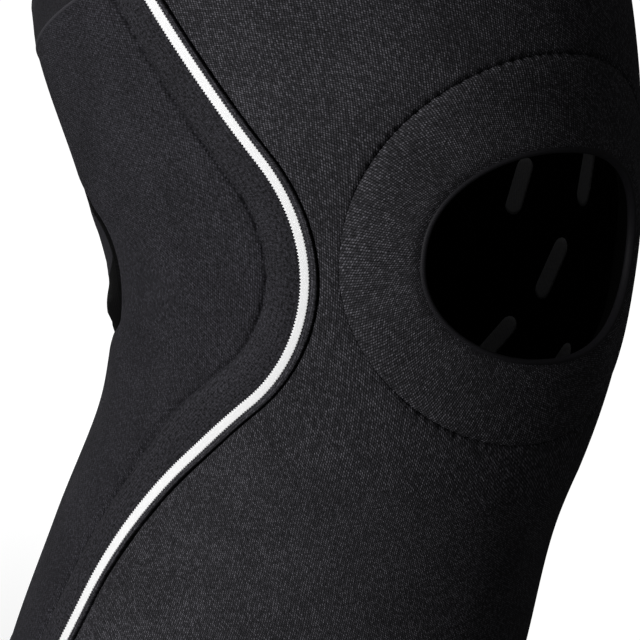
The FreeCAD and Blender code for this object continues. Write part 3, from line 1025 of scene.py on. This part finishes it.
def build_grip():
    outline = bar_outline()
    size = len(outline)
    shares = [1.0, 0.98, 0.85, 0.5, 0.1]            # the bar's crown, as shrinking copies of its outline
    lifts = -FOAM + np.array([0.3, -0.7, -1.0, -1.0, -1.0]) * BAR_THICK
    points, faces, uv = [], [], []
    columns = round(2 * math.pi * LINING_REACH / BAR_PITCH[0])
    for row in range(round((LENGTH - 2 * HEM_WIDTH) / BAR_PITCH[1]) - 1):
        for column in range(columns):
            run = HEM_WIDTH + 14.0 + row * BAR_PITCH[1]
            turn = (column + 0.5 * (row % 2)) * 2 * math.pi / columns
            if inside_ring(run, turn) or inside_window(run, turn):
                continue
            start = len(points)
            for share, lift in zip(shares, lifts):
                x, y = (outline * share).T
                points += list(skin(run + y, turn + x / LINING_REACH, lift))
                uv += list(np.stack([turn * LINING_REACH + x, run + y], 1))
            faces += grid_faces(len(shares), size, start, wrap_columns=True, flip=True)
            faces.append(tuple(range(len(points) - size, len(points)))[::-1])
    return make_mesh("grip_print", points, faces, uv, [grip_ink()])


def inside_ring(run, turn):
    x, y, z = skin(np.array([run]), np.array([turn]))[0]
    up = (x - KNEE.x) * RING_UP[0] + (z - KNEE.z) * RING_UP[1] - RING_HEIGHT
    return math.cos(turn) > 0 and math.hypot(y / (RING_HALF_WIDTH + 10), up / (RING_HALF_HEIGHT + 10)) < 1


def inside_window(run, turn):
    over = (run - WINDOW_MIDDLE[0]) / (WINDOW_HALF_RUN + 8)
    across = (turn % (2 * math.pi) - WINDOW_MIDDLE[1]) / (WINDOW_HALF_TURN + 8 / LINING_REACH)
    return math.hypot(over, across) < 1


grip_print = build_grip()
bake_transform(grip_print)


# ---- Camera, light and floor ----

LEAN = math.radians(24.23)          # the calf leans this much towards the kneecap in the view
AZIMUTH = math.radians(45.64)
ELEVATION = math.radians(3.52)
DISTANCE = 1.2
FOCAL_LENGTH = 293.4
KNEE_RIGHT, KNEE_UP = 0.0136, 0.00776      # the knee centre from the middle of the view


def unlean(v):
    """From the leaning leg's upright frame to the part's frame."""
    return Vector((v[0] * math.cos(LEAN) - v[2] * math.sin(LEAN), v[1],
                   v[0] * math.sin(LEAN) + v[2] * math.cos(LEAN)))


towards = Vector((math.sin(AZIMUTH) * math.cos(ELEVATION), -math.cos(AZIMUTH) * math.cos(ELEVATION),
                  math.sin(ELEVATION)))
right = Vector((math.cos(AZIMUTH), math.sin(AZIMUTH), 0))
above = towards.cross(right)
towards, right, above = unlean(towards), unlean(right), unlean(above)

lens = bpy.data.cameras.new("camera")
lens.lens = FOCAL_LENGTH
camera = make_object("camera", lens)
camera.location = KNEE * 0.001 + towards * DISTANCE - right * KNEE_RIGHT - above * KNEE_UP
camera.rotation_mode = "QUATERNION"
camera.rotation_quaternion = Matrix((right, above, towards)).transposed().to_quaternion()
bpy.context.scene.camera = camera


def softbox(name, out, sideways, up, size, level):
    """Round soft light aimed at the knee and placed by the view's own directions, in metres. Its level is
    how bright it makes a white card that faces it.
    """
    place = KNEE * 0.001 + towards * out + right * sideways + above * up
    lamp = bpy.data.lights.new(name, "AREA")
    lamp.shape = "DISK"
    lamp.size = size
    lamp.energy = level * math.pi ** 2 * (out ** 2 + sideways ** 2 + up ** 2)
    made = make_object(name, lamp)
    made.location = place
    made.rotation_mode = "QUATERNION"
    made.rotation_quaternion = (KNEE * 0.001 - place).to_track_quat("-Z", "Y")


softbox("key_light", 1.08, -1.1, 0.1, 0.8, 1.0)
softbox("fill_light", 1.2, 1.1, 0.3, 1.2, 0.02)
softbox("back_light", -1.3, -0.5, 0.6, 0.8, 0.3)

world = bpy.data.worlds.new("studio")
bpy.context.scene.world = world
world.use_nodes = True
tree = world.node_tree
sky = tree.nodes["Background"]
path = add(tree, "ShaderNodeLightPath")
level = spread(tree, path.outputs["Is Camera Ray"], 0.07, 1.0)
sky.inputs["Color"].default_value = (1, 1, 1, 1)
tree.links.new(level, sky.inputs["Strength"])

ground = bpy.data.meshes.new("floor")
far = 6.0
ground.from_pydata([(-far, -far, 0), (far, -far, 0), (far, far, 0), (-far, far, 0)], [], [(0, 1, 2, 3)])
floor = make_object("floor", ground)
floor_finish, tree, shader = new_finish("white_sweep")
shader.inputs["Base Color"].default_value = (0.25, 0.25, 0.25, 1)
shader.inputs["Roughness"].default_value = 0.9
path = add(tree, "ShaderNodeLightPath")
spot = add(tree, "ShaderNodeNewGeometry").outputs["Position"]
away = add(tree, "ShaderNodeVectorMath", {0: spot}, operation="LENGTH").outputs["Value"]
glow = calc(tree, "MULTIPLY", path.outputs["Is Camera Ray"], spread(tree, away, 0.85, 1.0, 0.065, 0.15))
glow = add(tree, "ShaderNodeEmission", {"Color": (1, 1, 1, 1), "Strength": glow})
both = add(tree, "ShaderNodeAddShader", {0: shader.outputs[0], 1: glow.outputs[0]})
tree.links.new(both.outputs[0], tree.nodes["Material Output"].inputs[0])
ground.materials.append(floor_finish)

bpy.context.scene.view_settings.view_transform = "Standard"
